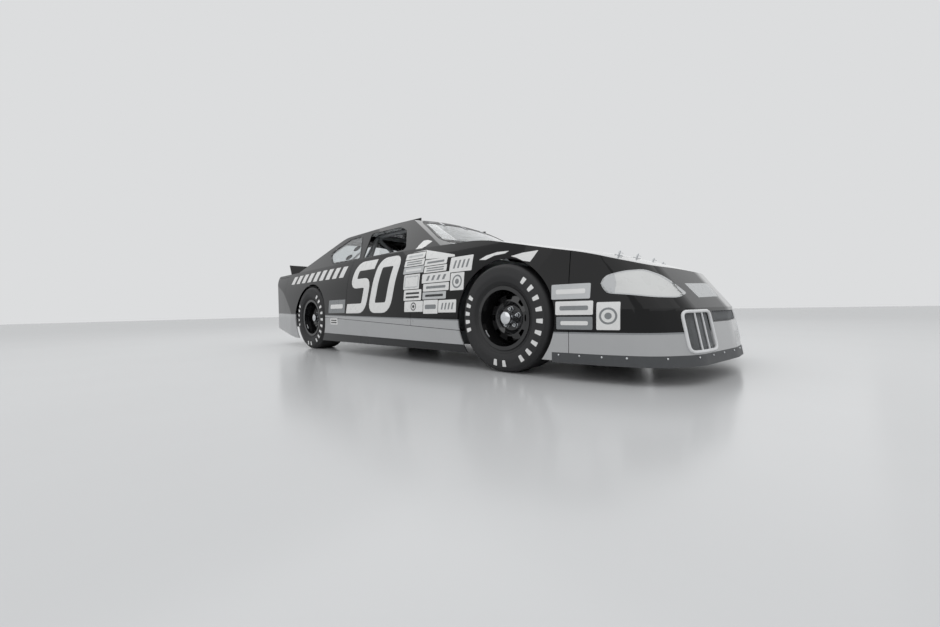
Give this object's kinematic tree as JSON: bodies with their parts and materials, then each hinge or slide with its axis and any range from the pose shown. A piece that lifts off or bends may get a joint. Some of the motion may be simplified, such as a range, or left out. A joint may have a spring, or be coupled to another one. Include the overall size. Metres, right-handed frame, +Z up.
{
  "type": "stock car",
  "caption": "Full-size oval-track stock car with steel body panels, tube cage, rolling wheels, steering, and an opening hood and deck lid.",
  "frame": {"origin": "on the ground under the middle of the body", "axes": "+X to the nose, +Y to the car's left, +Z up"},
  "size_m": [5.064, 1.8378, 1.3195],
  "materials": {
    "body_paint": "gloss black paint",
    "silver_paint": "gloss silver paint",
    "air_dam_plastic": "dark grey moulded skirt",
    "window": "clear",
    "bare_metal": "bare sheet metal",
    "chassis_paint": "grey enamel",
    "cockpit_sheet": "grey enamel on sheet and tube",
    "dash_black": "matt black",
    "seat_fabric": "black padded cover",
    "engine_iron": "painted casting",
    "hub_steel": "machined",
    "tyre_rubber": "smooth slick rubber",
    "wheel_paint": "gloss black enamel"
  },
  "bodies": {
    "car": {"nose_fascia": "body_paint", "cowl_panel": "body_paint", "rear_shelf": "body_paint", "bumper_cover": "body_paint", "front_fender_right": "body_paint", "front_fender_left": "body_paint", "door_panel_right": "body_paint", "door_panel_left": "body_paint", "rocker_panel_right": "silver_paint", "rocker_panel_left": "silver_paint", "quarter_panel_right": "body_paint", "quarter_panel_left": "body_paint", "seam_flanges": "bare_metal", "air_dam": "air_dam_plastic", "grille_screen": "bare_metal", "roof_and_pillars": "body_paint", "windshield": "window", "rear_window": "window", "quarter_window_left": "window", "quarter_window_right": "window", "frame_rails": "chassis_paint", "floor_tub": "cockpit_sheet", "side_floor": "cockpit_sheet", "roll_cage": "cockpit_sheet", "dashboard": "dash_black", "driver_seat": "seat_fabric", "engine_block": "engine_iron", "driveline": "engine_iron", "radiator": "bare_metal", "fuel_cell": "dash_black", "exhaust_pipes": "bare_metal", "wishbones": "chassis_paint", "rear_axle": "chassis_paint"},
    "hood": {"hood": "body_paint"},
    "deck_lid": {"deck_lid": "body_paint", "spoiler": "body_paint"},
    "steering_wheel": {"steering_wheel": "dash_black"},
    "steer_right": {"knuckle_right": "hub_steel"},
    "wheel_front_right": {"tyre_front_right": "tyre_rubber", "wheel_front_right": "wheel_paint"},
    "wheel_rear_right": {"tyre_rear_right": "tyre_rubber", "wheel_rear_right": "wheel_paint"},
    "steer_left": {"knuckle_left": "hub_steel"},
    "wheel_front_left": {"tyre_front_left": "tyre_rubber", "wheel_front_left": "wheel_paint"},
    "wheel_rear_left": {"tyre_rear_left": "tyre_rubber", "wheel_rear_left": "wheel_paint"}
  },
  "joints": [
    {"name": "steer_right", "type": "hinge", "parent": "car", "child": "steer_right", "pos_m": [1.372, -0.7085, 0.3535], "axis": [0, 0, 1], "range_deg": [-20, 20]},
    {"name": "spin_front_right", "type": "hinge", "parent": "steer_right", "child": "wheel_front_right", "pos_m": [1.372, -0.7685, 0.3535], "axis": [0, 1, 0], "continuous": true},
    {"name": "spin_rear_right", "type": "hinge", "parent": "car", "child": "wheel_rear_right", "pos_m": [-1.422, -0.7685, 0.3535], "axis": [0, 1, 0], "continuous": true},
    {"name": "steer_left", "type": "hinge", "parent": "car", "child": "steer_left", "pos_m": [1.372, 0.7085, 0.3535], "axis": [0, 0, 1], "range_deg": [-20, 20]},
    {"name": "spin_front_left", "type": "hinge", "parent": "steer_left", "child": "wheel_front_left", "pos_m": [1.372, 0.7685, 0.3535], "axis": [0, 1, 0], "continuous": true},
    {"name": "spin_rear_left", "type": "hinge", "parent": "car", "child": "wheel_rear_left", "pos_m": [-1.422, 0.7685, 0.3535], "axis": [0, 1, 0], "continuous": true},
    {"name": "hood_hinge", "type": "hinge", "parent": "car", "child": "hood", "pos_m": [0.905, 0, 0.95351], "axis": [0, -1, 0], "range_deg": [0, 50]},
    {"name": "deck_lid_hinge", "type": "hinge", "parent": "car", "child": "deck_lid", "pos_m": [-2.131, 0, 0.9536], "axis": [0, 1, 0], "range_deg": [0, 60]},
    {"name": "steering_wheel_turn", "type": "hinge", "parent": "car", "child": "steering_wheel", "pos_m": [0.372, 0.385, 0.79], "axis": [-0.9613, 0, 0.2756], "range_deg": [-240, 240]}
  ],
  "couplings": [
    {"joint": "steer_left", "follows": "steer_right", "ratio": 1},
    {"joint": "steering_wheel_turn", "follows": "steer_right", "ratio": 12}
  ]
}
